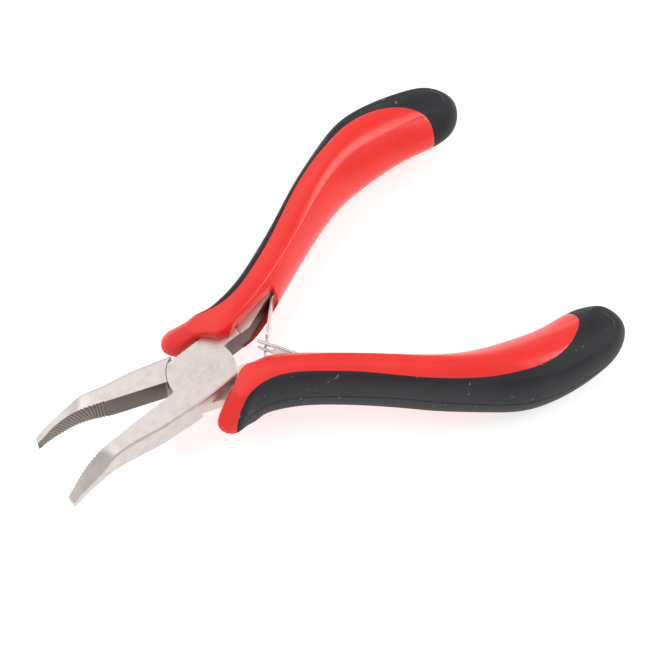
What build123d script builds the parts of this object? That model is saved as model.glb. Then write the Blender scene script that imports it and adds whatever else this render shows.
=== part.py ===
"""Small bent-nose pliers with a lap joint, two hooked leaf springs and two-part moulded grips.

The pivot axis is Z. The origin is on it, in the top face of the joint, so the tool hangs below Z = 0
except for its grips. The jaws point to -X and the handles to +X. Lever A has the upper half of the
lap joint and its handle on +Y. Lever B has the lower half and its handle on -Y. The pliers are
drawn open, as the springs hold them.
Each side is laid out in its own closed position, in u (along the closed tool) and v (across it),
and lever_plane turns that layout open. Side B is side A mirrored, except for the lap and the hooks.
"""
from build123d import *
import os
from math import cos, hypot, radians, sin, sqrt

os.makedirs("parts", exist_ok=True)

# ---- driving dimensions (mm and degrees) ----
open_half_angle = 11.0        # each side stands this far off the middle plane at rest

joint_radius = 7.5            # round boss of each lap half
joint_thickness = 7.0
joint_flat_outer = 6.2        # boss flat on the handle side, off the pivot
joint_flat_jaw = 5.8          # boss flat on the jaw side, off the pivot
joint_flat_run = 0.8          # each flat runs on this far past the round boss
lap_gap = 0.06                # between the two lap halves, face to face
lap_side_gap = 0.15           # between a boss and the shoulder it turns in

jaw_length = 37.3             # pivot to tip
jaw_face_gap = 0.03           # each gripping face stands this far off the closing plane
jaw_bend_start = 24.0         # where the nose begins to drop
jaw_tip_drop = 9.7            # from the top of the joint down to the top of the tip
jaw_tip_height = 1.9          # before the two shifts below
jaw_tip_width = 2.2
jaw_face_rise = 1.4           # the nose's top stands this much higher at its gripping face
jaw_back_fall = 2.6           # and lies this much lower at jaw_back_depth out from that face
jaw_back_lift = 1.0           # the nose's underside lies this much higher there
jaw_back_depth = 5.0
jaw_tip_corner = 0.5          # cut off the outer corner of the tip
jaw_edge_radius = 0.6         # rounding of the outer edges of the jaw

tooth_start = 21.8            # distance of the first tooth from the pivot
tooth_pitch = 0.66
tooth_depth = 0.22
tooth_count = 23

tang_thickness = 6.0
tang_inner_v = 1.5            # inner side of the straight tang, off the closing plane
tang_bend_u = 14.6            # where the tang turns outwards
tang_angle = 20.8             # how far it turns
tang_root_width = 4.6
tang_end_width = 3.6
tang_reach = 36.0             # length of the turned part, inside the grip
shoulder_u = 12.0             # where the thick joint steps down to the tang

rivet_radius = 2.4
rivet_head_radius = 3.3
rivet_head_depth = 0.9
rivet_running_gap = 0.05

spring_thickness = 0.6
spring_width = 4.4
spring_drop = 0.6             # the leaves' middle lies this far below the joint's middle
spring_meet_x = 15.6          # where the two leaves cross, on the middle plane
spring_leave = 9.6            # along the turned tang, where the leaf lifts off it
spring_root = 19.0            # along the turned tang, where the leaf ends inside the grip
spring_bend_radius = 3.0
spring_hook = 1.9             # how far each leaf runs on past the crossing
spring_neck = 1.7             # how far before the crossing a leaf changes its width
tongue_width = 1.5            # narrow end of leaf A, which passes through leaf B
fork_slot = 2.1               # slot in leaf B
fork_width = 3.6              # outer width of leaf B at its fork
hook_head_width = 3.4         # cross head of leaf A, behind the slot
hook_head_length = 0.7
spring_rivet_inset = 3.5      # rivet's middle, from the leaf's end inside the grip
spring_rivet_radius = 0.9
spring_rivet_depth = 2.4      # into the tang

grip_half_height = 6.8
grip_joint_gap = 0.6          # between the grip and the round boss
grip_fit = 0.05               # all round the tang inside the grip
grip_slot_run = 0.8           # the open slot of the grip runs this far past where the leaf lifts off
spring_pocket_gap = 0.15      # round the leaf where it lies inside the grip

# plan of a grip at half height (its fullest) and at its top and bottom faces, front to back.
# the inner side and the end are (along the turned tang, outward from the tang's inner side)
grip_inner_full = [(-4.6, 2.5), (-3.1, 0.4), (0.5, -1.3), (5.7, -1.7), (15.1, -1.4), (25.0, -1.3),
                   (34.6, -1.7), (40.6, -2.6), (49.6, -5.7), (59.0, -10.3), (66.8, -15.2)]
grip_inner_top = [(-4.7, 3.8), (-1.6, 3.1), (2.3, 2.2), (6.9, 1.5), (15.7, 0.9), (25.8, 1.0),
                  (36.0, 1.2), (42.4, 0.7), (51.2, -1.5), (60.6, -6.0), (68.4, -11.3)]
grip_end_full = [(72.1, -15.7), (77.0, -12.2), (76.7, -7.2)]
grip_end_top = [(71.2, -13.0), (74.2, -10.3), (74.3, -7.1)]
# where the wall beside the slot is cut back, on one side of the middle, so that the tang shows
grip_notch = [(-1.5, 2.5), (5.8, 1.0), (9.4, 0.2)]
# the outer side, the nose and the cover's edge are (along it, outward from the root's outer side)
grip_outer_full = [(72.2, -6.1), (64.1, -0.2), (55.3, 3.4), (47.1, 4.2), (34.6, 4.0), (23.7, 3.3),
                   (15.0, 3.2), (6.6, 3.6), (1.3, 4.8), (-1.8, 6.4), (-4.1, 8.4)]
grip_outer_top = [(69.9, -7.5), (62.3, -2.8), (55.7, 0.1), (49.1, 1.0), (35.6, 2.1), (23.9, 1.5),
                  (14.9, 1.0), (6.8, 1.4), (1.2, 2.6), (-1.4, 3.8), (-3.3, 5.5)]
grip_nose_full = [(-5.5, 10.7), (-7.5, 12.2), (-9.7, 11.6), (-10.8, 10.2), (-10.6, 8.1)]
grip_nose_top = [(-4.7, 6.5), (-5.6, 6.8), (-6.7, 6.4), (-7.3, 5.4), (-7.1, 3.8)]
cover_edge = [(-6.5, 16.6), (-6.6, 11.9), (-5.0, 7.7), (-1.4, 3.8), (2.8, 1.7), (10.9, 0.7),
              (19.8, 0.8), (31.0, 1.8), (41.2, 1.9), (50.8, 0.5), (58.1, -2.2), (63.0, -6.1),
              (66.0, -11.4), (66.4, -15.4), (64.8, -17.8), (58.2, -21.4)]
# height of a grip as a share of its half height, at distances in u from the tang's bend
grip_nose_height = [(-17.6, 0.36), (-14.2, 0.66), (-11.7, 0.84), (-7.6, 0.95), (-1.6, 1.0)]
grip_end_height = [(46.0, 1.0), (55.4, 0.95), (63.4, 0.83), (70.4, 0.66), (78.4, 0.40)]
grip_end_depth = [(46.0, 1.0), (63.4, 0.98), (70.4, 0.90), (78.4, 0.66)]

# ---- worked-out values and layout helpers ----
half_joint = joint_thickness / 2
half_tang = tang_thickness / 2
half_leaf = spring_width / 2
open_cos = cos(radians(open_half_angle))
open_sin = sin(radians(open_half_angle))
middle = (0, 0, -half_joint)                 # on the pivot axis, halfway through the joint
lever_plane = Plane(origin=middle, x_dir=(open_cos, open_sin, 0), z_dir=(0, 0, 1))
side_plane = Plane(origin=middle, x_dir=(open_cos, open_sin, 0), z_dir=(open_sin, -open_cos, 0))
rivet_plane = Plane(origin=middle, x_dir=(1, 0, 0), z_dir=(0, -1, 0))
flat_end = sqrt(joint_radius**2 - joint_flat_outer**2) + joint_flat_run
tang_corner = (tang_bend_u, tang_inner_v)
spring_meet = (spring_meet_x * open_cos, -spring_meet_x * open_sin)
spring_rivet_at = spring_root - spring_rivet_inset
slot_end = spring_leave + grip_slot_run
past_end = 60.0                              # past the far end of the tang
far_out = 120.0                              # past every side of a grip


def along_tang(length, outward=0.0):
    """Point (u, v) on the turned tang: length from its inner corner, outward from its inner side."""
    a = radians(tang_angle)
    return (tang_corner[0] + length * cos(a) - outward * sin(a),
            tang_corner[1] + length * sin(a) + outward * cos(a))


def beside_inner(points):
    """Points (u, v) from points given along and outward from the tang's inner side."""
    return [along_tang(length, off) for length, off in points]


def beside_outer(points):
    """Points (u, v) from points given along and outward from the outer side of the tang's root."""
    return [along_tang(length, tang_root_width + off) for length, off in points]


def towards(start, end, distance):
    """The point at a distance from start, on the line to end."""
    span = hypot(end[0] - start[0], end[1] - start[1])
    return (start[0] + (end[0] - start[0]) * distance / span,
            start[1] + (end[1] - start[1]) * distance / span)


def mixed(full, small, share):
    """Points between two lists of points, at share of the way from small to full."""
    return [(a + (c - a) * share, b + (d - b) * share) for (a, b), (c, d) in zip(small, full)]


# ---- metal levers ----
def lever_outline():
    """Plan of a lever, as closed lines in the current BuildLine."""
    boss_top = (-sqrt(joint_radius**2 - joint_flat_outer**2), joint_flat_outer)
    boss_jaw = (-sqrt(joint_radius**2 - jaw_face_gap**2), -jaw_face_gap)
    boss_tang = (sqrt(joint_radius**2 - tang_inner_v**2), tang_inner_v)
    boss_low = (sqrt(joint_radius**2 - joint_flat_jaw**2), -joint_flat_jaw)
    jaw_root = (-boss_low[0] - joint_flat_run, -joint_flat_jaw)
    # share of the jaw's length, and of its narrowing that is still to come
    taper = [(0.28, 0.90), (0.39, 0.80), (0.52, 0.56), (0.64, 0.40), (0.80, 0.30)]
    narrowing = joint_flat_jaw - jaw_tip_width
    jaw_back = [(-far * jaw_length, -jaw_tip_width - left * narrowing) for far, left in taper]
    tip_back = (-jaw_length + jaw_tip_corner, -jaw_tip_width)
    tip_corner = (-jaw_length, -jaw_tip_width + jaw_tip_corner)
    tip_face = (-jaw_length, -jaw_face_gap)
    Line(tip_face, boss_jaw)
    RadiusArc(boss_jaw, boss_top, joint_radius)
    Polyline(boss_top, (flat_end, joint_flat_outer), along_tang(-0.5, tang_root_width),
             along_tang(tang_reach, tang_end_width), along_tang(tang_reach), tang_corner, boss_tang)
    RadiusArc(boss_tang, boss_low, joint_radius)
    Line(boss_low, jaw_root)
    Spline(jaw_root, *jaw_back, tip_back, tangents=((-1, 0), (-1, 0.12)))
    Polyline(tip_back, tip_corner, tip_face)


def nose_points(top_shift, low_shift):
    """Points (u, z) along the nose's top and back along its underside. The shifts move them."""
    reach = jaw_length - jaw_bend_start
    low_drop = jaw_tip_drop + jaw_tip_height - joint_thickness
    # share of the reach past the bend, of the drop at the tip, and of the shift
    top_fall = [(0.0, 0.0, 0.0), (0.27, 0.115, 0.5), (0.53, 0.37, 1.0), (0.79, 0.68, 0.7), (1.0, 1.0, 0.5)]
    low_fall = [(1.0, 1.0, 0.2), (0.75, 0.46, 0.4), (0.53, 0.11, 1.0), (0.27, -0.16, 0.6), (0.0, -0.13, 0.0)]
    nose_top = [(-jaw_bend_start - reach * far, half_joint - jaw_tip_drop * down + top_shift * share)
                for far, down, share in top_fall]
    nose_low = [(-jaw_bend_start - reach * far, -half_joint - low_drop * down + low_shift * share)
                for far, down, share in low_fall]
    nose_low.append((-jaw_bend_start * 0.75, -half_joint))
    return nose_top, nose_low


def lever_corners():
    """Corners (u, z) of a lever's side without its nose."""
    step = half_joint - half_tang
    root = -jaw_bend_start * 0.75
    return [(past_end, half_tang), (shoulder_u + step, half_tang), (shoulder_u, half_joint), (root, half_joint),
            (root, -half_joint), (shoulder_u, -half_joint), (shoulder_u + step, -half_tang), (past_end, -half_tang)]


def nose_side(top_shift, low_shift):
    """Side of the nose alone in (u, z), as closed lines in the current BuildLine."""
    nose_top, nose_low = nose_points(top_shift, low_shift)
    root = (-jaw_bend_start * 0.75, half_joint)
    Line(root, nose_top[0])
    Spline(*nose_top, tangents=((-1, 0), (-1, -1.05)))
    Line(nose_top[-1], nose_low[0])
    Spline(*nose_low, tangents=((1, 0.75), (1, 0)))
    Line(nose_low[-1], root)


def lever_envelope():
    """Side of a lever through its whole width. The nose slopes back from its gripping face."""
    back_plane = side_plane.offset(jaw_back_depth)
    with BuildPart() as envelope:
        with BuildSketch(side_plane):
            Polygon(*lever_corners(), align=None)
        extrude(amount=far_out, both=True)
        with BuildSketch(side_plane):
            with BuildLine():
                nose_side(jaw_face_rise, 0)
            make_face()
        with BuildSketch(back_plane):
            with BuildLine():
                nose_side(-jaw_back_fall, jaw_back_lift)
            make_face()
        loft(ruled=True)
    return envelope.part


def nose_middle(distance):
    """Height of the nose's middle at a distance from the pivot, and its slope, falling outwards."""
    reach = jaw_length - jaw_bend_start
    far = max(0.0, (distance - jaw_bend_start) / reach)
    low_drop = jaw_tip_drop + jaw_tip_height - joint_thickness
    drop = (jaw_tip_drop + low_drop) / 2
    return -drop * far**1.6, 1.6 * drop * far**0.6 / reach


def tooth_cutter(number):
    """One groove across the gripping face, square to the run of the nose."""
    distance = tooth_start + number * tooth_pitch
    height, slope = nose_middle(distance)
    along = hypot(1, slope)
    run = Vector(-open_cos / along, -open_sin / along, -slope / along)
    foot = lever_plane.from_local_coords(Vector(-distance, -jaw_face_gap, height))
    groove_plane = Plane(origin=foot, x_dir=run, z_dir=run.cross(Vector(*lever_plane.y_dir)))
    with BuildPart() as cutter:
        with BuildSketch(groove_plane):
            Polygon((-tooth_pitch / 2, 0.01), (tooth_pitch / 2, 0.01), (0, -tooth_depth), align=None)
        extrude(amount=joint_thickness, both=True)
    return cutter.part


def is_jaw_back(edge):
    """True for the long edges along the outer side of the jaw."""
    centre = lever_plane.to_local_coords(edge.center())
    long_curve = edge.geom_type == GeomType.BSPLINE and edge.length > 2
    return long_curve and centre.X < -joint_radius and centre.Y < -jaw_tip_width - 0.6


def rivet_profile(gap):
    """Half section of the pivot rivet in (radius, z), grown by gap."""
    head = rivet_head_radius + gap
    shank = rivet_radius + gap
    depth = rivet_head_depth + gap
    Polyline((0, -half_joint), (head, -half_joint), (shank, -half_joint + depth),
             (shank, half_joint - depth), (head, half_joint), (0, half_joint), close=True)


def spring_pin():
    """Rivet that holds a leaf on its tang, across the leaf."""
    foot = along_tang(spring_rivet_at, spring_rivet_depth)
    a = radians(tang_angle + open_half_angle)
    base = lever_plane.from_local_coords(Vector(foot[0], foot[1], -spring_drop))
    pin_plane = Plane(origin=base, z_dir=(sin(a), -cos(a), 0))
    with BuildPart() as pin:
        with BuildSketch(pin_plane):
            Circle(spring_rivet_radius)
        extrude(amount=spring_rivet_depth + spring_thickness)
    return pin.part


def lever_blank(lap_side):
    """One lever in the place of lever A. lap_side is 1 for the upper lap half and -1 for the lower."""
    with BuildPart() as blank:
        with BuildSketch(lever_plane.offset(-half_joint - jaw_tip_drop)):
            with BuildLine():
                lever_outline()
            make_face()
        extrude(amount=joint_thickness + jaw_tip_drop)
        add(lever_envelope(), mode=Mode.INTERSECT)
        fillet(blank.edges().filter_by(is_jaw_back), radius=jaw_edge_radius)
        for number in range(tooth_count):
            add(tooth_cutter(number), mode=Mode.SUBTRACT)
        # the other lever's half of the lap
        with BuildSketch(lever_plane.offset(lap_side * lap_gap / 2)):
            Circle(joint_radius + lap_side_gap)
        extrude(amount=-lap_side * joint_thickness, mode=Mode.SUBTRACT)
        # hole and countersinks for the pivot rivet, tight in lever A and free in lever B
        with BuildSketch(rivet_plane):
            with BuildLine():
                rivet_profile(0 if lap_side > 0 else rivet_running_gap)
            make_face()
        revolve(axis=Axis.Z, mode=Mode.SUBTRACT)
        add(spring_pin(), mode=Mode.SUBTRACT)
    return blank.part


with BuildPart() as lever_a:
    add(lever_blank(1))
lever_a.part.label = "lever_a"

with BuildPart() as lever_b:
    add(mirror(lever_blank(-1), about=Plane.XZ))
lever_b.part.label = "lever_b"

with BuildPart() as pivot_rivet:
    with BuildSketch(rivet_plane):
        with BuildLine():
            rivet_profile(0)
        make_face()
    revolve(axis=Axis.Z)
pivot_rivet.part.label = "pivot_rivet"


# ---- leaf springs ----
def leaf_reach():
    """Start (u, v) of a leaf's free stretch, and its length to the crossing."""
    leave = along_tang(spring_leave, -spring_thickness / 2)
    return leave, hypot(leave[0] - spring_meet[0], leave[1] - spring_meet[1])


def leaf_blank():
    """Plain leaf in the place of leaf A, with its rivet hole."""
    leave, reach = leaf_reach()
    root = along_tang(spring_root, -spring_thickness / 2)
    hook_end = towards(leave, spring_meet, reach + spring_hook)
    with BuildPart() as leaf:
        with BuildSketch(lever_plane.offset(-spring_drop - half_leaf)):
            with BuildLine() as path:
                FilletPolyline(root, leave, hook_end, radius=spring_bend_radius)
            trace(path.line, line_width=spring_thickness)
        extrude(amount=spring_width)
        add(spring_pin(), mode=Mode.SUBTRACT)
    return leaf.part


def leaf_end(from_meet, to_meet, low, high):
    """Block over a stretch of leaf A's free end, measured past the crossing, at heights off its middle."""
    leave, reach = leaf_reach()
    start = towards(leave, spring_meet, reach + from_meet)
    end = towards(leave, spring_meet, reach + to_meet)
    with BuildPart() as block:
        with BuildSketch(lever_plane.offset(low - spring_drop)):
            with BuildLine() as stretch:
                Line(start, end)
            trace(stretch.line, line_width=3 * spring_thickness)
        extrude(amount=high - low)
    return block.part


over = 2.0                                   # how far a cutter passes the piece it cuts
neck_end = spring_hook - hook_head_length    # leaf A's neck stops where its cross head starts


def trimmed_leaf(start, end, width, leaf):
    """The leaf with its two sides cut down to a width, from start to end past the crossing."""
    with BuildPart() as trimmed:
        add(leaf)
        for side in (-1, 1):
            low, high = sorted((side * width / 2, side * (half_leaf + over)))
            add(leaf_end(start, end, low, high), mode=Mode.SUBTRACT)
    return trimmed.part


with BuildPart() as leaf_spring_a:
    necked_leaf = trimmed_leaf(-spring_neck, neck_end, tongue_width, leaf_blank())
    add(trimmed_leaf(neck_end, spring_hook + over, hook_head_width, necked_leaf))
leaf_spring_a.part.label = "leaf_spring_a"

with BuildPart() as leaf_spring_b:
    add(trimmed_leaf(-spring_neck, spring_hook + over, fork_width, leaf_blank()))
    add(leaf_end(-spring_neck, spring_hook + over, -fork_slot / 2, fork_slot / 2), mode=Mode.SUBTRACT)
    mirror(about=Plane.XZ, mode=Mode.REPLACE)
leaf_spring_b.part.label = "leaf_spring_b"

with BuildPart() as spring_rivet_a:
    add(spring_pin())
spring_rivet_a.part.label = "spring_rivet_a"

with BuildPart() as spring_rivet_b:
    add(mirror(spring_pin(), about=Plane.XZ))
spring_rivet_b.part.label = "spring_rivet_b"


# ---- moulded grips ----
def grip_plan(level):
    """Plan of a grip at a share of its half height, as closed lines in the current BuildLine."""
    slope = 1 - level**2                     # the inner side leans, and is a little crowned
    bulge = sqrt(1 - level**2)               # the outer side, the nose and the end are rounded
    inner = beside_inner(mixed(grip_inner_full, grip_inner_top, slope))
    end = beside_inner(mixed(grip_end_full, grip_end_top, bulge))
    outer = beside_outer(mixed(grip_outer_full, grip_outer_top, bulge))
    nose = beside_outer(mixed(grip_nose_full, grip_nose_top, bulge))
    Spline(*inner)
    Spline(inner[-1], *end, outer[0])
    Spline(*outer)
    Spline(outer[-1], *nose, inner[0])


def grip_side():
    """Side of a grip in (u, z), lower at its nose and end, as closed lines in the current BuildLine."""
    def heights(shares, side):
        return [(tang_bend_u + far, side * share * grip_half_height) for far, share in shares]
    nose_top = Spline(*heights(grip_nose_height, 1))
    nose_low = Spline(*heights(grip_nose_height, -1))
    end_top = Spline(*heights(grip_end_height, 1), tangents=((1, 0), (1, -0.3)))
    end_low = Spline(*heights(grip_end_depth, -1), tangents=((1, 0), (1, 0.4)))
    Line(nose_top @ 0, nose_low @ 0)
    Line(nose_top @ 1, end_top @ 0)
    Line(nose_low @ 1, end_low @ 0)
    Line(end_top @ 1, end_low @ 1)


def grip_blank():
    """Whole grip in the place of grip A, before it is hollowed or parted."""
    with BuildPart() as blank:
        for level in (-1.0, -0.86, -0.5, 0.0, 0.5, 0.86, 1.0):
            with BuildSketch(lever_plane.offset(level * grip_half_height)):
                with BuildLine():
                    grip_plan(level)
                make_face()
        loft(ruled=True)
        with BuildSketch(side_plane):
            with BuildLine():
                grip_side()
            make_face()
        extrude(amount=far_out, both=True, mode=Mode.INTERSECT)
    return blank.part


def tang_corners():
    """Corners (u, v) of the metal inside the grip, from the pivot on."""
    return [(0, joint_flat_outer), (flat_end, joint_flat_outer), along_tang(-0.5, tang_root_width),
            along_tang(tang_reach, tang_end_width), along_tang(tang_reach), tang_corner,
            (0, tang_inner_v)]


def strip_corners(start, end, low, high):
    """Corners of a strip beside the turned tang, from start to end along it and low to high outward."""
    return beside_inner([(start, low), (end, low), (end, high), (start, high)])


def cut_both_ways(half_depth):
    """Cut the waiting sketches to the same depth above and below the middle."""
    extrude(amount=half_depth, both=True, mode=Mode.SUBTRACT)


def hollow_grip(notch_side):
    """Grip in the place of grip A, with its pocket for the tang and the open slot for the leaf.

    notch_side is 1 if the wall is cut back above the tang and -1 if below it.
    """
    notch = [(-past_end, grip_notch[0][1]), *grip_notch, (slot_end, 0), (slot_end, -past_end),
             (-past_end, -past_end)]
    step_end = shoulder_u + half_joint - half_tang + grip_fit
    with BuildPart() as hollow:
        add(grip_blank())
        with BuildSketch(lever_plane):
            Circle(joint_radius + grip_joint_gap)
        cut_both_ways(far_out)
        with BuildSketch(lever_plane):
            Polygon(*tang_corners(), align=None)
            offset(amount=grip_fit, kind=Kind.INTERSECTION)
        cut_both_ways(half_tang + grip_fit)
        # the thicker joint reaches a little way in
        with BuildSketch(lever_plane):
            Polygon(*tang_corners(), align=None)
            offset(amount=grip_fit, kind=Kind.INTERSECTION)
            with Locations((step_end - far_out, 0)):
                Rectangle(2 * far_out, 2 * far_out, mode=Mode.INTERSECT)
        cut_both_ways(half_joint + grip_fit)
        # slot on the inner side, where the leaf lifts off the tang
        with BuildSketch(lever_plane):
            Polygon(*strip_corners(-past_end, slot_end, -past_end, over), align=None)
        cut_both_ways(half_tang + grip_fit)
        with BuildSketch(lever_plane):
            Polygon(*beside_inner(notch), align=None)
        extrude(amount=notch_side * far_out, mode=Mode.SUBTRACT)
        # the leaf's root, inside
        with BuildSketch(lever_plane):
            Polygon(*strip_corners(slot_end - over, spring_root + spring_pocket_gap,
                                   -spring_thickness - spring_pocket_gap, over), align=None)
        cut_both_ways(half_leaf + spring_drop + spring_pocket_gap)
    return hollow.part


def cover_space():
    """Everything outside the line where the soft cover meets the hard core."""
    edge = beside_outer(cover_edge)
    with BuildPart() as space:
        with BuildSketch(lever_plane.offset(-far_out)):
            with BuildLine():
                Spline(*edge)
                Polyline(edge[-1], (far_out, 0), (far_out, far_out), (0, far_out), edge[0])
            make_face()
        extrude(amount=2 * far_out)
    return space.part


# the two grips are one moulding, so the notch is on top of grip A and below on grip B
grip_a = hollow_grip(1)
grip_b = hollow_grip(-1)
cover_block = cover_space()

with BuildPart() as grip_core_a:
    add(grip_a)
    add(cover_block, mode=Mode.SUBTRACT)
grip_core_a.part.label = "grip_core_a"

with BuildPart() as grip_cover_a:
    add(grip_a)
    add(cover_block, mode=Mode.INTERSECT)
grip_cover_a.part.label = "grip_cover_a"

with BuildPart() as grip_core_b:
    add(grip_b)
    add(cover_block, mode=Mode.SUBTRACT)
    mirror(about=Plane.XZ, mode=Mode.REPLACE)
grip_core_b.part.label = "grip_core_b"

with BuildPart() as grip_cover_b:
    add(grip_b)
    add(cover_block, mode=Mode.INTERSECT)
    mirror(about=Plane.XZ, mode=Mode.REPLACE)
grip_cover_b.part.label = "grip_cover_b"

pieces = (lever_a, lever_b, pivot_rivet, leaf_spring_a, leaf_spring_b, spring_rivet_a, spring_rivet_b,
          grip_core_a, grip_core_b, grip_cover_a, grip_cover_b)
for piece in pieces:
    print(piece.part.label, round(piece.part.volume, 2), len(piece.part.solids()))
    export_step(piece.part, f"parts/{piece.part.label}.step")
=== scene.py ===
# %% [markdown]
# # Small bent-nose pliers with spring-loaded handles
# The CAD model comes in as a fixed frame: two steel levers, their rivet, two leaf springs and two
# moulded grips. Blender gives each of them its real surface. The levers keep their CAD shape and get
# a nickel finish. The grips and springs are built again here, because a moulded grip has soft edges
# and a crowned face that a CAD loft draws as flat strips. A real spring bends as the tool closes;
# here each one is drawn in one fixed shape.

import bpy
import bmesh
import math
import numpy as np
from mathutils import Matrix, Vector


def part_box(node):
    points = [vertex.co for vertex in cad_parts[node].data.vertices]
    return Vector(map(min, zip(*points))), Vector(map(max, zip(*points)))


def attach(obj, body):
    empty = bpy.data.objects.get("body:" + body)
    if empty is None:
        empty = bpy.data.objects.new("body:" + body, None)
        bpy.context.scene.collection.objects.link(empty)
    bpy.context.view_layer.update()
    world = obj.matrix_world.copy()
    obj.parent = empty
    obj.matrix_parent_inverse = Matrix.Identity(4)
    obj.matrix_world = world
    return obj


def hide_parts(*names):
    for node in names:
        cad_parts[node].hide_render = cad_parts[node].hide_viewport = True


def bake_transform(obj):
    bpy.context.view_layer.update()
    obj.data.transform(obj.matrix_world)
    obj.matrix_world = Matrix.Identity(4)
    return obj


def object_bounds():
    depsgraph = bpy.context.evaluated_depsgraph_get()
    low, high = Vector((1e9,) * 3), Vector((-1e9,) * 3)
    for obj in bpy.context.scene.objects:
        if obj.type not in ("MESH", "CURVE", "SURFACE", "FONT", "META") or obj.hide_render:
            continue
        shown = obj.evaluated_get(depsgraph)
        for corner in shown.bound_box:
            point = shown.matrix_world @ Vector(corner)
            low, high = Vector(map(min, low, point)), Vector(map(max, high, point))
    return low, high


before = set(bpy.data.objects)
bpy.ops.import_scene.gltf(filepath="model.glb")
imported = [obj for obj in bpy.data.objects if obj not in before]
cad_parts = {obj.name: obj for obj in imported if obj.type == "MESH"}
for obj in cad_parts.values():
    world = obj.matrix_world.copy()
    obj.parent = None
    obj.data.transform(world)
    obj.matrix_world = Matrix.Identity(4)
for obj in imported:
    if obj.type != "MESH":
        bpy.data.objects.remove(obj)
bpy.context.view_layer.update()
rivet_low, rivet_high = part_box("pivot_rivet")
MM = 0.001
MIDDLE_Z = (rivet_low[2] + rivet_high[2]) / 2 / MM
print("middle of the joint at", round(MIDDLE_Z, 2), "mm")

# %% [markdown]
# ## The layout of one side
# Each half of the tool is drawn in the place that it has when the pliers are closed, with u along
# the tool and v across it, and then turned open about the pivot. A drawing could be made straight
# in the open pose, but the closed one is how such a tool is dimensioned, and both halves then share
# one set of numbers. Side B is side A mirrored.

# %% Closed layout to open pose
HALF_OPEN = math.radians(11.0)
TANG_BEND = (14.6, 1.5)
TANG_TURN = math.radians(20.8)
TANG_ROOT_WIDTH = 4.6
TANG_HALF = 3.05


def opened(points):
    """Points (u, v) of the closed layout as x, y columns in mm, turned open for side A."""
    u, v = np.asarray(points, float).T
    c, s = math.cos(HALF_OPEN), math.sin(HALF_OPEN)
    return np.column_stack((u * c - v * s, u * s + v * c))


def beside_tang(points, width=0.0):
    """Points (along the turned tang, outward from it) as (u, v). width moves them to its outer side."""
    along, out = np.asarray(points, float).T
    out = out + width
    c, s = math.cos(TANG_TURN), math.sin(TANG_TURN)
    return np.column_stack((TANG_BEND[0] + along * c - out * s, TANG_BEND[1] + along * s + out * c))


print("tang bends at", opened([TANG_BEND]).round(1).tolist())

# %% [markdown]
# ## Shader maths as plain expressions
# A material that varies over a surface is a small calculation. Wiring it by hand takes many lines,
# so one class wraps a socket and turns Python's own operators into nodes. Values go through Math
# nodes, and colours and vectors through Mix and Vector Math, because a Math node turns colour grey.

# %% A socket that can be calculated with
class Wire:
    """A node socket. Sums, products and the like on values add Math nodes to its material."""

    def __init__(self, sheet, socket):
        self.sheet = sheet
        self.socket = socket

    def math(self, operation, a, b):
        return self.sheet.node("ShaderNodeMath", {"operation": operation}, {0: a, 1: b})

    def __add__(self, other):
        return self.math("ADD", self, other)

    __radd__ = __add__

    def __sub__(self, other):
        return self.math("SUBTRACT", self, other)

    def __rsub__(self, other):
        return self.math("SUBTRACT", other, self)

    def __mul__(self, other):
        return self.math("MULTIPLY", self, other)

    __rmul__ = __mul__

    def step(self, low, high):
        """0 below low and 1 above high, smooth between them."""
        return self.sheet.node("ShaderNodeMapRange", {"interpolation_type": "SMOOTHSTEP"},
                               {"Value": self, "From Min": low, "From Max": high})


class Sheet:
    """One material's nodes, with its surface shader and the object's own coordinates."""

    def __init__(self, name):
        self.material = bpy.data.materials.new(name)
        self.material.use_nodes = True
        self.tree = self.material.node_tree
        self.shader = self.tree.nodes["Principled BSDF"]
        self.place = self.node("ShaderNodeTexCoord", {}, {}, "Object")
        self.normal = self.node("ShaderNodeTexCoord", {}, {}, "Normal")

    def node(self, kind, settings, values, output=0):
        """Adds a node: its settings first, then the value or link of each socket."""
        made = self.tree.nodes.new(kind)
        for name, value in settings.items():
            setattr(made, name, value)
        for name, value in values.items():
            self.join(made.inputs[name], value)
        return Wire(self, made.outputs[output])

    def join(self, target, value):
        if isinstance(value, Wire):
            self.tree.links.new(value.socket, target)
        else:
            target.default_value = value

    def noise(self, scale, detail=2.0, roughness=0.5, stretch=(1.0, 1.0, 1.0)):
        spread = self.node("ShaderNodeVectorMath", {"operation": "MULTIPLY"},
                           {0: self.place, 1: stretch})
        return self.node("ShaderNodeTexNoise", {},
                         {"Vector": spread, "Scale": scale, "Detail": detail, "Roughness": roughness})

    def mix(self, share, a, b):
        """Colour a where share is 0 and colour b where it is 1."""
        return self.node("ShaderNodeMix", {"data_type": "RGBA"}, {0: share, 6: a, 7: b}, 2)

    def towards(self, direction):
        """How squarely the surface faces a direction, from -1 to 1."""
        return self.node("ShaderNodeVectorMath", {"operation": "DOT_PRODUCT"},
                         {0: self.normal, 1: direction}, "Value")

    def along(self, direction):
        """Distance in metres along a direction."""
        return self.node("ShaderNodeVectorMath", {"operation": "DOT_PRODUCT"},
                         {0: self.place, 1: direction}, "Value")

    def set(self, **values):
        for name, value in values.items():
            self.join(self.shader.inputs[name.replace("_", " ")], value)

    def bump(self, height, strength, distance):
        self.set(Normal=self.node("ShaderNodeBump", {},
                                  {"Height": height, "Strength": strength, "Distance": distance}))


print("shader helpers ready")
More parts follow.
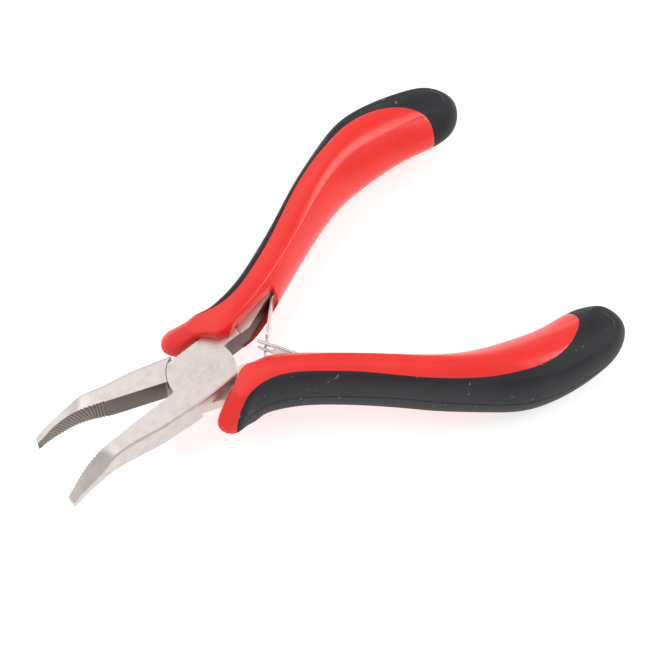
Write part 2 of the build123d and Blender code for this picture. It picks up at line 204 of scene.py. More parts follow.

# %% [markdown]
# ## Nickel on forged steel
# The levers are forged, ground and nickel plated, then tumbled, so they are bright with a fine dull
# grain. The gripping faces are cut last and look darker and browner, and the two walls of each tooth
# get a lighter and a darker tone as painted light and shade. The inner sides of the tangs and the
# outer sides at the waist are darkened as painted shade. Two materials could be split by face, but
# the faces come from the CAD mesh, which is left as it is, so the dark finish and the painted shade
# are a mask: it appears where the surface faces the other jaw, and at the waist.

# %% Lever steel
NICKEL = (0.69, 0.625, 0.595, 1.0)
NICKEL_WORN = (0.53, 0.475, 0.45, 1.0)
# lit and shaded tones of the ground finish, for painted light and shade; the finish itself is their mean
GROUND_LIT = (0.32, 0.27, 0.25, 1.0)
GROUND_SHADED = (0.045, 0.035, 0.032, 1.0)


def lever_steel(name, side):
    """Satin nickel, darker on the gripping faces. side is 1 for lever A.

    The two walls of each tooth get painted light and shade. The tang's inner side and the outer side
    at the waist get painted shade.
    """
    sheet = Sheet(name)
    turn = HALF_OPEN * side
    tang_turn = (HALF_OPEN + TANG_TURN) * side
    outward = (math.cos(turn), math.sin(turn), 0.0)
    across = (-math.sin(turn) * side, math.cos(turn) * side, 0.0)
    tang_in = (math.sin(tang_turn) * side, -math.cos(tang_turn) * side, 0.0)
    tang_out = tuple(-c for c in tang_in)
    behind = sheet.along(outward)
    jaw_face = sheet.towards(across).step(0.55, 0.9) * (1 - behind.step(-8.5 * MM, -7.0 * MM))
    # painted shade: the tang's inner side is darkened where the slot shades it
    tang_shade = sheet.towards(tang_in).step(0.6, 0.9) * behind.step(7.0 * MM, 8.5 * MM)
    # painted shade: the outer side at the waist is darkened where it lies in shadow under the joint
    waist_shade = sheet.towards(tang_out).step(0.55, 0.85) * behind.step(3.0 * MM, 4.5 * MM)
    # the real ground finish of the gripping faces, together with the painted shade on tang and waist
    ground_and_shade = jaw_face + tang_shade + waist_shade * 0.9
    # painted light and shade: tooth walls facing the handles get the lit tone, walls facing the tip the
    # shaded one
    tooth_light_and_shade = sheet.towards(outward).step(-0.3, 0.3) * jaw_face - jaw_face * 0.5
    ground_and_painted_light = sheet.mix(tooth_light_and_shade + 0.5, GROUND_SHADED, GROUND_LIT)
    cloud = sheet.noise(420.0, 4.0, 0.65)
    grain = sheet.noise(4200.0, 2.0, 0.6)
    bright = sheet.mix((cloud * 0.75 + grain * 0.25).step(0.40, 0.85), NICKEL, NICKEL_WORN)
    sheet.set(Base_Color=sheet.mix(ground_and_shade, bright, ground_and_painted_light), Metallic=1.0,
              Roughness=0.34 + cloud * 0.10 + ground_and_shade * 0.12)
    sheet.bump(grain, 0.25, 0.00006)
    return sheet.material


steel_a = lever_steel("nickel_steel_a", 1)
steel_b = lever_steel("nickel_steel_b", -1)
print("made", steel_a.name, "and", steel_b.name)

# %% [markdown]
# ## Steel for the rivets and springs
# The pivot rivet is ground flush with the joint, so only a faint ring of different grain shows. The
# leaves are cold-rolled strip: brighter and smoother than the levers, with grain along the strip.

# %% Rivet and spring steel
WORN_SHARE = 0.86


def plain_steel(name, colour, rough, grain_size, stretch):
    """Plated or rolled steel of one colour, a little darker where the grain is dense."""
    sheet = Sheet(name)
    worn = (*[c * WORN_SHARE for c in colour[:3]], 1.0)
    grain = sheet.noise(grain_size, 2.0, 0.6, stretch)
    sheet.set(Base_Color=sheet.mix(grain.step(0.3, 0.8), colour, worn), Metallic=1.0,
              Roughness=rough + grain * 0.12)
    sheet.bump(sheet.noise(4200.0, 2.0, 0.6, stretch), 0.2, 0.00005)
    return sheet.material


rivet_steel = plain_steel("rivet_steel", (0.68, 0.615, 0.585, 1.0), 0.34, 700.0, (1.0, 1.0, 1.0))
spring_steel = plain_steel("spring_steel", (0.72, 0.70, 0.69, 1.0), 0.22, 1500.0, (1.0, 1.0, 8.0))
print("made", rivet_steel.name, "and", spring_steel.name)

# %% [markdown]
# ## Red core and black cover
# The grip is moulded twice. The hard red core goes on the tang first and comes out of a satin mould,
# so it has a soft sheen and a very fine orange peel. The black cover is a softer rubber, moulded over
# the core's outer side. It is duller, and it picks up dust and small pits that show as pale specks.

# %% Moulded finishes
RED = (0.93, 0.026, 0.016, 1.0)
RED_DEEP = (0.88, 0.020, 0.012, 1.0)
BLACK = (0.015, 0.016, 0.019, 1.0)
BLACK_WORN = (0.024, 0.025, 0.029, 1.0)
DUST = (0.30, 0.29, 0.28, 1.0)


def red_plastic():
    """Hard plastic with a soft sheen and a fine orange peel."""
    sheet = Sheet("red_core_plastic")
    peel = sheet.noise(900.0, 2.0)
    cloud = sheet.noise(60.0, 2.0)
    sheet.set(Base_Color=sheet.mix(cloud.step(0.3, 0.7), RED, RED_DEEP), Roughness=0.27 + cloud * 0.08)
    sheet.shader.inputs["Specular IOR Level"].default_value = 0.5
    sheet.bump(peel, 0.12, 0.0001)
    return sheet.material


def black_rubber():
    """Dull rubber with a fine grain and a few pale, slightly sunken specks."""
    sheet = Sheet("black_cover_rubber")
    grain = sheet.noise(3500.0, 3.0, 0.6)
    cloud = sheet.noise(120.0, 3.0)
    speck = sheet.noise(900.0, 0.0).step(0.80, 0.83)
    base = sheet.mix(cloud.step(0.3, 0.75), BLACK, BLACK_WORN)
    sheet.set(Base_Color=sheet.mix(speck * 0.4, base, DUST), Roughness=0.50 + cloud * 0.14)
    sheet.shader.inputs["Specular IOR Level"].default_value = 0.28
    sheet.bump(grain * 0.6 - speck * 1.5, 0.22, 0.00008)
    return sheet.material


core_red = red_plastic()
cover_black = black_rubber()
print("made", core_red.name, "and", cover_black.name)

# %% [markdown]
# ## Working with meshes
# Three helpers carry the modelling: one makes an object from points and faces, one makes an upright
# prism to cut with, and one cuts. The cuts are applied at once, so that what is left is plain mesh.
# They could be left as modifiers, but the cut grip is copied, parted and mirrored afterwards, which
# is simpler with plain mesh.

# %% Objects from points
def mesh_object(name, points_mm, faces, material=None):
    """New object from points in mm."""
    mesh = bpy.data.meshes.new(name)
    mesh.from_pydata((np.asarray(points_mm) * MM).tolist(), [], faces)
    mesh.validate()
    made = bpy.data.objects.new(name, mesh)
    bpy.context.scene.collection.objects.link(made)
    if material:
        mesh.materials.append(material)
    return made


def prism(name, outline_xy, low, high):
    """Upright prism over an outline in mm, which may run either way round."""
    xy = np.asarray(outline_xy, float)
    n = len(xy)
    area = np.sum(xy[:, 0] * np.roll(xy[:, 1], -1) - xy[:, 1] * np.roll(xy[:, 0], -1))
    if area < 0:
        xy = xy[::-1]
    points = np.vstack([np.column_stack((xy, np.full(n, MIDDLE_Z + z))) for z in (low, high)])
    walls = [(i, (i + 1) % n, n + (i + 1) % n, n + i) for i in range(n)]
    return mesh_object(name, points, [tuple(range(n))[::-1], tuple(range(n, 2 * n)), *walls])


print("cutters are made round the height", round(MIDDLE_Z, 2), "mm")

# %% Cutting and rounding
SHARP_ANGLE = 50
BEVEL_SEGMENTS = 2


def baked(thing):
    """Replaces an object's mesh by what its modifiers make of it."""
    seen = thing.evaluated_get(bpy.context.evaluated_depsgraph_get())
    mesh = bpy.data.meshes.new_from_object(seen)
    thing.modifiers.clear()
    thing.data = mesh
    return thing


def cut(thing, cutter, operation="DIFFERENCE", keep_cutter=False):
    """Cuts one object with another, and removes the cutter unless it is needed again."""
    step = thing.modifiers.new("cut", "BOOLEAN")
    step.operation = operation
    step.solver = "EXACT"
    step.object = cutter
    baked(thing)
    if not keep_cutter:
        bpy.data.objects.remove(cutter)
    return thing


def copied(thing, name):
    """A second object with a mesh of its own."""
    twin = thing.copy()
    twin.data = thing.data.copy()
    twin.name = name
    bpy.context.scene.collection.objects.link(twin)
    return twin


def softened(thing, width_mm, angle):
    """Rounds the edges sharper than an angle, and shades the rest smooth."""
    step = thing.modifiers.new("soft edges", "BEVEL")
    step.width = width_mm * MM
    step.segments = BEVEL_SEGMENTS
    step.limit_method = "ANGLE"
    step.angle_limit = math.radians(angle)
    step.use_clamp_overlap = True
    baked(thing)
    for face in thing.data.polygons:
        face.use_smooth = True
    thing.data.set_sharp_from_angle(angle=math.radians(SHARP_ANGLE))
    return thing


print("mesh helpers ready")

# %% [markdown]
# ## The shape of a grip
# The grip is fullest at half height. Its inner side leans back to a soft ridge, and its outer side
# is rounded. Toward the nose guard and the rounded end it gets lower. A subdivision cage could be
# pushed into this shape by eye. Here closed plan curves at many heights are used instead, because
# the plan at half height and the plan at the top face are the two things that can be measured.

# %% Plan curves, in mm beside the tang
INNER_FULL = [(-4.6, 2.5), (-3.1, 0.4), (0.5, -1.3), (5.7, -1.7), (15.1, -1.4), (25.0, -1.3),
              (34.6, -1.7), (40.6, -2.6), (49.6, -5.7), (59.0, -10.3), (66.8, -15.2)]
INNER_TOP = [(-4.7, 3.8), (-1.6, 3.1), (2.3, 2.2), (6.9, 1.5), (15.7, 0.9), (25.8, 1.0),
             (36.0, 1.2), (42.4, 0.7), (51.2, -1.5), (60.6, -6.0), (68.4, -11.3)]
END_FULL = [(72.1, -15.7), (77.0, -12.2), (76.7, -7.2)]
END_TOP = [(71.2, -13.0), (74.2, -10.3), (74.3, -7.1)]
OUTER_FULL = [(72.2, -6.1), (64.1, -0.2), (55.3, 3.4), (47.1, 4.2), (34.6, 4.0), (23.7, 3.3),
              (15.0, 3.2), (6.6, 3.6), (1.3, 4.8), (-1.8, 6.4), (-4.1, 8.4)]
OUTER_TOP = [(69.9, -7.5), (62.3, -2.8), (55.7, 0.1), (49.1, 1.0), (35.6, 2.1), (23.9, 1.5),
             (14.9, 1.0), (6.8, 1.4), (1.2, 2.6), (-1.4, 3.8), (-3.3, 5.5)]
NOSE_FULL = [(-5.5, 10.7), (-7.5, 12.2), (-9.7, 11.6), (-10.8, 10.2), (-10.6, 8.1)]
NOSE_TOP = [(-4.7, 6.5), (-5.6, 6.8), (-6.7, 6.4), (-7.3, 5.4), (-7.1, 3.8)]
COVER_EDGE = [(-6.3, 16.6), (-6.4, 11.9), (-4.8, 7.7), (-1.4, 3.8), (2.8, 1.7), (10.9, 0.7),
              (19.8, 0.8), (31.0, 1.8), (41.2, 1.9), (50.8, 0.5), (58.1, -2.2), (63.0, -6.1),
              (66.0, -11.4), (66.4, -15.4), (64.8, -17.8), (58.2, -21.4)]
HALF_HEIGHT = 6.8
# share of the half height, rise of the top face in mm, and how far each grip's middle lies below
# the joint's middle in mm, all against u
HEIGHT_SHARE = [(-3.0, 0.50), (-0.7, 0.60), (0.6, 0.69), (2.9, 0.80), (7.0, 0.94), (13.0, 1.0),
                (40.0, 1.0), (52.0, 1.09), (62.0, 1.11), (70.0, 1.02), (78.0, 0.90), (85.0, 0.76),
                (93.0, 0.50)]
CROWN = [(10.0, 0.3), (35.0, 0.5), (45.0, 0.9), (58.0, 1.3), (70.0, 1.2), (80.0, 1.0), (93.0, 0.5)]
DROOP_A = [(-3.0, 1.7), (0.0, 1.5), (4.0, 0.8), (9.0, 0.0), (45.0, 0.0), (60.0, 0.4), (75.0, 0.8),
           (92.0, 1.0)]
DROOP_B = [(40.0, 0.0), (52.0, 0.8), (60.0, 1.5), (75.0, 2.4), (92.0, 2.9)]


EASE_GRID = np.arange(-10.0, 110.0, 0.5)
EASE_SPAN = 9


def eased(table, u):
    """A table of (u, value) read with its corners rounded off, by a running mean taken twice."""
    values = np.interp(EASE_GRID, *np.array(table).T)
    for _ in range(2):
        padded = np.pad(values, EASE_SPAN // 2, mode="edge")
        values = np.convolve(padded, np.ones(EASE_SPAN) / EASE_SPAN, mode="valid")
    return np.interp(u, EASE_GRID, values)


print("grip height at 5, 40 and 85 mm:", eased(HEIGHT_SHARE, [5, 40, 85]).round(2) * HALF_HEIGHT)

# %% [markdown]
# ## One closed curve through the points
# Each plan is a smooth closed curve. A periodic cubic spline goes through every point with no kink
# where it closes. It is then divided evenly, from the tip of the guard to the middle of the end,
# once along the inner side and once along the outer side, so that every height has matching points.

# %% Splines
def spline_through(points, closed, per_gap):
    """Points along a cubic spline through the given ones, closed or with free ends."""
    p = np.asarray(points, float)
    n = len(p)
    following = np.roll(p, -1, axis=0)
    gap = np.linalg.norm(following - p, axis=1)
    a = np.zeros((n, n))
    b = np.zeros((n, 2))
    for i in range(n):
        if not closed and i in (0, n - 1):
            a[i, i] = 1.0
            continue
        before, after = gap[i - 1], gap[i]
        a[i, i - 1] = before
        a[i, i] = 2 * (before + after)
        a[i, (i + 1) % n] = after
        b[i] = 6 * ((following[i] - p[i]) / after - (p[i] - p[i - 1]) / before)
    bend = np.linalg.solve(a, b)
    bend_next = np.roll(bend, -1, axis=0)
    share = (np.arange(per_gap) / per_gap)[:, None]
    rest = 1 - share
    runs = []
    for i in range(n if closed else n - 1):
        curve = ((rest**3 - rest) * bend[i] + (share**3 - share) * bend_next[i]) * gap[i]**2 / 6
        runs.append(rest * p[i] + share * following[i] + curve)
    if not closed:
        runs.append(p[-1:])
    return np.vstack(runs)


print("a spline through 3 points has", len(spline_through([(0, 0), (1, 1), (2, 0)], False, 4)), "points")

# %% Plan of a grip at one height
PLAN_PER_GAP = 14
# share of the guard's shift that the last three points of the outer side take
GUARD_SHIFT = np.array([0.15, 0.4, 0.75])


def even(points, count):
    """The same line with a number of evenly spaced points, both ends kept."""
    far = np.concatenate(([0.0], np.cumsum(np.linalg.norm(np.diff(points, axis=0), axis=1))))
    want = np.linspace(0.0, far[-1], count)
    return np.column_stack([np.interp(want, far, points[:, k]) for k in (0, 1)])


def mixed(full, small, share):
    """Between two lists of points: the small one at share 0 and the full one at share 1."""
    return np.asarray(small) + (np.asarray(full) - np.asarray(small)) * share


def grip_halves(level, count, reach):
    """Inner and outer line (u, v) of the grip's plan at a share of its half height.

    reach moves the guard along the tang.
    """
    lean = 1 - level**2
    bulge = math.sqrt(max(0.0, 1 - level**2))
    guard = 1 - abs(level)**1.6
    inner = beside_tang(mixed(INNER_FULL, INNER_TOP, lean))
    end = beside_tang(mixed(END_FULL, END_TOP, bulge))
    outer = mixed(OUTER_FULL, OUTER_TOP, bulge)
    outer[-len(GUARD_SHIFT):, 0] += reach * GUARD_SHIFT
    outer = beside_tang(outer, TANG_ROOT_WIDTH)
    nose = beside_tang(mixed(NOSE_FULL, NOSE_TOP, guard) + (reach, 0.0), TANG_ROOT_WIDTH)
    loop = np.vstack((nose[3:], inner, end, outer, nose[:3]))
    dense = spline_through(loop, True, PLAN_PER_GAP)
    end_at = (len(nose[3:]) + len(inner) + 1) * PLAN_PER_GAP
    return even(dense[:end_at + 1], count), even(np.vstack((dense[end_at:], dense[:1]))[::-1], count)


print("plan at half height runs", grip_halves(0.0, 5, 0.0)[0].round(1).tolist())

# %% [markdown]
# ## The grip's skin
# Rings of matching points are stacked from the bottom face to the top face, and both faces are
# filled with rows from the inner ridge to the outer edge, raised a little in the middle. A few
# rounds of smoothing then turn the two hard rims into the soft, shiny ridge of a moulded part.

# %% Rings from the bottom face to the top face
POINTS_ALONG = 110
RING = 2 * POINTS_ALONG - 2
LEVEL_ANGLES = (1.2, 4, 9, 15, 21, 27, 33, 39, 45, 51, 57, 63, 69, 75, 82)
ABOVE = [math.sin(math.radians(a)) for a in LEVEL_ANGLES]
LEVELS = [-1.0, *[-level for level in reversed(ABOVE)], 0.0, *ABOVE, 1.0]


def ring_points(droop, reach):
    """Points (u, v, height) of all rings. Each runs along the inner side and back along the outer."""
    stack = []
    for level in LEVELS:
        inner, outer = grip_halves(level, POINTS_ALONG, reach)
        loop = np.vstack((inner, outer[-2:0:-1]))
        height = level * HALF_HEIGHT * eased(HEIGHT_SHARE, loop[:, 0]) - eased(droop, loop[:, 0])
        stack.append(np.column_stack((loop, height)))
    return np.vstack(stack)


def ring_faces():
    """The walls between each ring and the next one up."""
    faces = []
    for low in range(0, (len(LEVELS) - 1) * RING, RING):
        high = low + RING
        for i in range(RING):
            j = (i + 1) % RING
            faces.append((high + i, high + j, low + j, low + i))
    return faces


print(len(LEVELS), "rings of", RING, "points")

# %% The two closing faces
FACE_ROWS = 12


def closing_face(points, start, side):
    """Closes the ring that starts at a point number, with rows from its inner to its outer side.

    side is -1 for the bottom and 1 for the top. Returns all points so far and the new faces.
    """
    end = start + POINTS_ALONG - 1
    inner = list(range(start, end + 1))
    outer = [start, *range(start + RING - 1, end - 1, -1)]
    share = (np.arange(1, FACE_ROWS) / FACE_ROWS)[:, None]
    spots = points[inner[1:-1]] + (points[outer[1:-1]] - points[inner[1:-1]]) * share[:, :, None]
    spots[:, :, 2] += side * eased(CROWN, spots[:, :, 0]) * 4 * share * (1 - share)
    numbers = len(points) + np.arange(spots[:, :, 0].size).reshape(spots.shape[:2])
    rows = [inner, *[[start, *line, end] for line in numbers.tolist()], outer]
    faces = []
    for row, following in zip(rows, rows[1:]):
        near, far = (following, row) if side < 0 else (row, following)
        for i in range(POINTS_ALONG - 1):
            corners = dict.fromkeys((near[i], near[i + 1], far[i + 1], far[i]))
            if len(corners) > 2:
                faces.append(tuple(corners))
    return np.vstack((points, spots.reshape(-1, 3))), faces


print("each closing face has", FACE_ROWS, "rows")

# %% Skin of a grip
RIM_ROUNDS = 12
STEP_IN = 0.5
STEP_OUT = -0.52
PARTING_DEPTH = 0.25
# the parting line runs a few points past the tip of the guard and past the middle of the end
PAST_GUARD = 3
PAST_END = 8


def relax(mesh, rounds):
    """Smooths a mesh without shrinking it: each step inward is followed by one outward."""
    place = np.array([v.co for v in mesh.vertices])
    ends = np.array([e.vertices for e in mesh.edges])
    both = np.vstack((ends, ends[:, ::-1]))
    count = np.bincount(both[:, 0], minlength=len(place))[:, None]
    for _ in range(rounds):
        for share in (STEP_IN, STEP_OUT):
            total = np.zeros_like(place)
            np.add.at(total, both[:, 0], place[both[:, 1]])
            place = place + (total / count - place) * share
    mesh.vertices.foreach_set("co", place.ravel())


def press_parting_line(skin):
    """Turns the faces outward and presses a shallow line into the outer side at half height."""
    shape = bmesh.new()
    shape.from_mesh(skin.data)
    bmesh.ops.recalc_face_normals(shape, faces=shape.faces)
    shape.verts.ensure_lookup_table()
    shape.normal_update()
    first = LEVELS.index(0.0) * RING
    for i in range(RING):
        if i < PAST_GUARD or i > POINTS_ALONG - PAST_END:
            spot = shape.verts[first + i]
            spot.co -= spot.normal * PARTING_DEPTH * MM
    shape.to_mesh(skin.data)
    shape.free()


def grip_skin(name, droop, reach):
    """Closed skin of a grip in the place of grip A, still whole."""
    points = ring_points(droop, reach)
    faces = ring_faces()
    for side, start in ((-1, 0), (1, (len(LEVELS) - 1) * RING)):
        points, closing = closing_face(points, start, side)
        faces += closing
    skin = mesh_object(name, np.column_stack((opened(points[:, :2]), points[:, 2] + MIDDLE_Z)), faces)
    relax(skin.data, RIM_ROUNDS)
    press_parting_line(skin)
    return skin


trial = grip_skin("trial_grip", DROOP_A, 0.0)
print("grip skin:", len(trial.data.vertices), "points, box",
      [round(d / MM, 1) for d in trial.dimensions])
bpy.data.objects.remove(trial)

# %% [markdown]
# ## Pockets, slot and the line between the two plastics
# The same cuts are made as on the real moulding: room for the round joint, the pocket that holds the
# tang, the open slot that the spring comes out of, and the wall cut back beside it. The wall is cut
# back on one side only. Both grips come out of one mould, so it is on top of one and below on the
# other. Last, the grip is parted along the cover's edge, and the rims of both pieces are rounded,
# which leaves the fine groove that shows between the red and the black.

# %% Room inside a grip
JOINT_RADIUS = 7.5
JOINT_ROOM = 0.6
JOINT_HALF = 3.55
SLOT_HALF = 3.1
SLOT_END = 10.4
STEP_U = 13.0
FAR = 90.0
# Cutters that follow each other differ by a few hundredths of a mm. Where two of them share a
# plane, an exact cut leaves loose flaps.
TANG_POCKET = [(0.0, 6.25), (5.05, 6.25), *beside_tang([(-0.5, 4.65), (36.0, 3.65), (36.1, -0.05)]).tolist(),
               (14.6, 1.45), (0.0, 1.45)]
JOINT_POCKET = [(-1.0, 6.29), (5.07, 6.29), (STEP_U, 5.1), (STEP_U, 1.3), (-1.0, 1.3)]
SPRING_SLOT = [(-FAR, -FAR), (SLOT_END, -FAR), (SLOT_END, 2.0), (-FAR, 2.0)]
CUT_BACK = [(-FAR, 2.5), (-1.5, 2.5), (5.8, 1.0), (9.4, 0.2), (SLOT_END - 0.03, 0.0),
            (SLOT_END - 0.03, -FAR), (-FAR, -FAR)]


def circle(radius, count=96):
    """Points round the pivot."""
    angles = [2 * math.pi * i / count for i in range(count)]
    return [(radius * math.cos(a), radius * math.sin(a)) for a in angles]


def cut_grip(skin, notch_side):
    """Makes the openings of grip A's skin. notch_side is 1 where its upper wall is cut back."""
    low, high = sorted((0.0, notch_side * FAR))
    for name, outline, bottom, top in (
            ("joint_room", circle(JOINT_RADIUS + JOINT_ROOM), -FAR, FAR),
            ("tang_pocket", opened(TANG_POCKET), -TANG_HALF, TANG_HALF),
            ("joint_pocket", opened(JOINT_POCKET), -JOINT_HALF, JOINT_HALF),
            ("spring_slot", opened(beside_tang(SPRING_SLOT)), -SLOT_HALF, SLOT_HALF),
            ("cut_back_wall", opened(beside_tang(CUT_BACK)), low, high)):
        cut(skin, prism(name, outline, bottom, top))
    return skin


print("the slot in a grip is", SLOT_HALF * 2, "mm high")

# %% Core and cover of the two grips
EDGE_PER_GAP = 10
COVER_CORNERS = [(FAR + 30, 0), (FAR + 30, FAR), (0, FAR)]
GROOVE_RADIUS = 0.22
GROOVE_ANGLE = 38
GRIP_PARTS = (("core", "DIFFERENCE", core_red, "red_plastic"),
              ("cover", "INTERSECT", cover_black, "black_rubber"))


def grip(side, droop, reach, place):
    """Core and cover of one grip. side is 1 for grip A and -1 for grip B, its mirror image."""
    body, node = ("side_a", "a") if side > 0 else ("side_b", "b")
    whole = cut_grip(grip_skin("whole_grip", droop, reach), side)
    edge = spline_through(beside_tang(COVER_EDGE, TANG_ROOT_WIDTH), False, EDGE_PER_GAP)
    room = prism("cover_room", opened(np.vstack((edge, COVER_CORNERS))), -FAR, FAR)
    for part, operation, material, slot in GRIP_PARTS:
        piece = cut(copied(whole, f"{place}_grip_{part}"), room, operation, keep_cutter=True)
        if side < 0:
            piece.data.transform(Matrix.Diagonal((1, -1, 1, 1)))
            piece.data.flip_normals()
        piece.data.materials.clear()
        piece.data.materials.append(material)
        softened(piece, GROOVE_RADIUS, GROOVE_ANGLE)
        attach(piece, body)
        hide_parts(f"grip_{part}_{node}")
        print(piece.name, len(piece.data.polygons), "faces")
    bpy.data.objects.remove(room)
    bpy.data.objects.remove(whole)


grip(1, DROOP_A, -0.9, "upper")
grip(-1, DROOP_B, 0.3, "lower")

# %% [markdown]
# ## Leaf springs
# Each leaf lies along its tang inside the grip, lifts off at the slot and runs straight to the
# middle. There one ends in a fork and the other in a narrow neck with a cross head, and the neck
# goes through the fork, so that neither can slip. On the tool both of its ends move as the handles
# close. Here it is a strip of many short cells in one fixed shape: its root lies along its own lever,
# and its hook lies on the middle line of the tool.

# %% Leaf shape
LEAF_THICK = 0.55
LEAF_HALF = 2.2
LEAF_DROP = 0.6
LEAF_LEAVE = 9.6
LEAF_ROOT = 19.0
LEAF_BEND_RADIUS = 3.0
MEET_X = 15.6
HOOK_RUN = 1.9
NECK_RUN = 1.7
HEAD_RUN = 0.7
LEAF_EDGE = 0.1
LEAF_EDGE_ANGLE = 40


def leaf_line():
    """Middle line of a leaf in open x, y and the distance of each point past the crossing."""
    root, leave = opened(beside_tang([(LEAF_ROOT, -0.3), (LEAF_LEAVE, -0.3)]))
    meet = np.array([MEET_X, 0.0])
    into = (leave - root) / np.linalg.norm(leave - root)
    out = (meet - leave) / np.linalg.norm(meet - leave)
    turn = math.acos(float(into @ out))
    tangent = LEAF_BEND_RADIUS * math.tan(turn / 2)
    bend = [leave + into * -tangent * (1 - t)**2 + out * tangent * t**2 for t in np.linspace(0, 1, 9)]
    first = [root + (bend[0] - root) * t for t in np.linspace(0, 1, 6)[:-1]]
    reach = np.linalg.norm(meet - bend[-1])
    neck = reach - NECK_RUN
    head = reach + HOOK_RUN - HEAD_RUN
    stops = [*np.linspace(0, neck, 15)[1:], *np.linspace(neck, head, 7)[1:],
             *np.linspace(head, reach + HOOK_RUN, 3)[1:]]
    last = [bend[-1] + out * s for s in stops]
    past = [-FAR] * (len(first) + len(bend)) + [s - reach for s in stops]
    return np.array(first + bend + last), np.array(past)


print("leaf line has", len(leaf_line()[0]), "points")

# %% Strip of cells along the leaf
def leaf_mesh(name, side, columns, kept):
    """Strip of cells along the leaf's line. kept(past, across) says which cells are steel."""
    line, past = leaf_line()
    line = line * (1, side)
    run = np.gradient(line, axis=0)
    run = run / np.linalg.norm(run, axis=1)[:, None]
    normal = np.column_stack((-run[:, 1], run[:, 0]))
    n, m = len(line), len(columns)
    points = []
    for face in (-1, 1):
        for i in range(n):
            x, y = line[i] + normal[i] * face * LEAF_THICK / 2
            points += [(x, y, MIDDLE_Z - LEAF_DROP + w) for w in columns]
    cells = {(i, j) for i in range(n - 1) for j in range(m - 1)
             if kept((past[i] + past[i + 1]) / 2, (columns[j] + columns[j + 1]) / 2)}

    def number(face, cell):
        return face * n * m + cell[0] * m + cell[1]

    faces = []
    for i, j in sorted(cells):
        square = [(i, j), (i + 1, j), (i + 1, j + 1), (i, j + 1)]
        faces.append(tuple(number(0, c) for c in square))
        faces.append(tuple(number(1, c) for c in reversed(square)))
        for k, neighbour in enumerate(((i, j - 1), (i + 1, j), (i, j + 1), (i - 1, j))):
            if neighbour not in cells:
                a, b = square[k], square[(k + 1) % 4]
                faces.append((number(0, b), number(0, a), number(1, a), number(1, b)))
    leaf = mesh_object(name, points, faces, spring_steel)
    shape = bmesh.new()
    shape.from_mesh(leaf.data)
    bmesh.ops.delete(shape, geom=[v for v in shape.verts if not v.link_faces], context="VERTS")
    bmesh.ops.recalc_face_normals(shape, faces=shape.faces)
    shape.to_mesh(leaf.data)
    shape.free()
    return softened(leaf, LEAF_EDGE, LEAF_EDGE_ANGLE)


def mirrored_columns(*half):
    """Lines across the leaf, the same on both sides of its middle."""
    return [*[-w for w in reversed(half)], *half]


print("columns of a plain leaf:", mirrored_columns(LEAF_HALF))

# %% [markdown]
# ## How the leaves hook
# The neck of the tongue is narrower than the gap of the fork, and the cross head is wider, so the
# two stay hooked while they slide. The strips could be bent by an armature with a few bones; here
# they keep one fixed shape.

# %% The two leaves
HEAD_HALF = 1.7
NECK_HALF = 0.75
GAP_HALF = 1.05
FORK_HALF = 1.8


def tongue_kept(past, across):
    """Full width, then the neck, then the cross head."""
    if past > HOOK_RUN - HEAD_RUN:
        return abs(across) < HEAD_HALF
    return past < -NECK_RUN or abs(across) < NECK_HALF


def fork_kept(past, across):
    """Full width, then two prongs."""
    return past < -NECK_RUN or GAP_HALF < abs(across) < FORK_HALF


leaf_upper = leaf_mesh("leaf_with_tongue", 1, mirrored_columns(NECK_HALF, HEAD_HALF, LEAF_HALF), tongue_kept)
leaf_lower = leaf_mesh("leaf_with_fork", -1, mirrored_columns(GAP_HALF, FORK_HALF, LEAF_HALF), fork_kept)
for leaf, node in ((leaf_upper, "leaf_spring_a"), (leaf_lower, "leaf_spring_b")):
    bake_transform(leaf)
    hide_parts(node)
    print(leaf.name, len(leaf.data.polygons), "faces")

# %% [markdown]
# ## Finishing the steel that keeps its CAD shape
# The levers and rivets are already right, so they only get their finish and a hair of rounding on
# the sharp edges. The rounding is a modifier, which leaves the CAD mesh as it is, and it gives the
# thin bright lines that plated edges have.

# %% Levers and rivets
EDGE_ANGLE = 35
for node, material, width in (("lever_a", steel_a, 0.14), ("lever_b", steel_b, 0.14),
                              ("pivot_rivet", rivet_steel, 0.05), ("spring_rivet_a", rivet_steel, 0.05),
                              ("spring_rivet_b", rivet_steel, 0.05)):
    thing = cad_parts[node]
    thing.material_slots[0].material = material
    edge = thing.modifiers.new("edge", "BEVEL")
    edge.width = width * MM
    edge.segments = BEVEL_SEGMENTS
    edge.limit_method = "ANGLE"
    edge.angle_limit = math.radians(EDGE_ANGLE)
    print(node, "finished with", material.name)

# %% [markdown]
# ## Table and light
# A pale, even table and large soft lights keep the object readable and the steel bright. The table
# is one big plane at the height of the lowest point, so that nothing sinks into it. It could be lit
# until it is white, but that would bleach the steel too, so it glows a little itself.

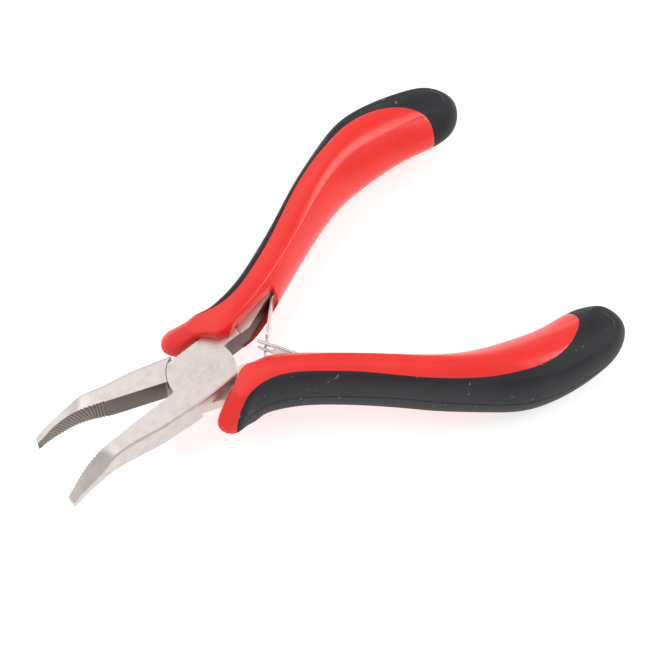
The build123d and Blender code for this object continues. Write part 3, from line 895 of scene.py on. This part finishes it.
# %% Table
TABLE_HALF = 1500.0
table_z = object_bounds()[0][2] / MM
table_corners = [(x * TABLE_HALF, y * TABLE_HALF, table_z) for x, y in ((-1, -1), (1, -1), (1, 1), (-1, 1))]
table = mesh_object("table", table_corners, [(0, 1, 2, 3)])
paper = Sheet("pale_table")
paper.set(Base_Color=(0.55, 0.55, 0.55, 1.0), Roughness=0.9, Emission_Color=(1.0, 1.0, 1.0, 1.0))
paper.shader.inputs["Emission Strength"].default_value = 0.66
table.data.materials.append(paper.material)
print("table at", round(table_z, 2), "mm")

# %% Light
AIM = (0.02, 0.0, 0.0)


def soft_panel(name, place, size, power):
    """A square soft light in metres, aimed at the middle of the tool."""
    lamp = bpy.data.lights.new(name, "AREA")
    lamp.shape = "SQUARE"
    lamp.size = size
    lamp.energy = power
    panel = bpy.data.objects.new(name, lamp)
    panel.location = place
    panel.rotation_euler = (Vector(AIM) - Vector(place)).to_track_quat("-Z", "Y").to_euler()
    bpy.context.scene.collection.objects.link(panel)
    print(name, "panel of", size, "m")


world = bpy.data.worlds.new("studio")
world.use_nodes = True
world.node_tree.nodes["Background"].inputs["Color"].default_value = (1.0, 1.0, 1.0, 1.0)
world.node_tree.nodes["Background"].inputs["Strength"].default_value = 0.66
bpy.context.scene.world = world
soft_panel("window", (-0.28, 0.55, 0.80), 1.10, 3.4)
soft_panel("fill", (0.55, -0.20, 0.50), 0.28, 1.5)
bpy.context.scene.view_settings.view_transform = "Standard"

# %% [markdown]
# ## Camera
# The camera looks down on the tool from the side of its jaws, with a long lens. A camera can be
# aimed at a target by a constraint, but that only says where it looks. Its place and its three axes
# are given here instead, which fixes the view in full.

# %% Camera
LENS = 99.02
EYE = Vector((-70.76, -169.90, 339.49)) * MM
RIGHT = Vector((0.8561, -0.5168, 0.0))
UP = Vector((0.4499, 0.7452, 0.4922))
BACK = Vector((-0.2544, -0.4214, 0.8705))
camera_data = bpy.data.cameras.new("camera")
camera_data.lens = LENS
camera_data.sensor_width = 36.0
camera_data.clip_start = 0.01
camera = bpy.data.objects.new("camera", camera_data)
axes = Matrix((RIGHT, UP, BACK)).transposed().to_4x4()
camera.matrix_world = Matrix.Translation(EYE) @ axes
bpy.context.scene.collection.objects.link(camera)
bpy.context.scene.camera = camera
print("camera", round((EYE - Vector(AIM)).length / MM), "mm away")
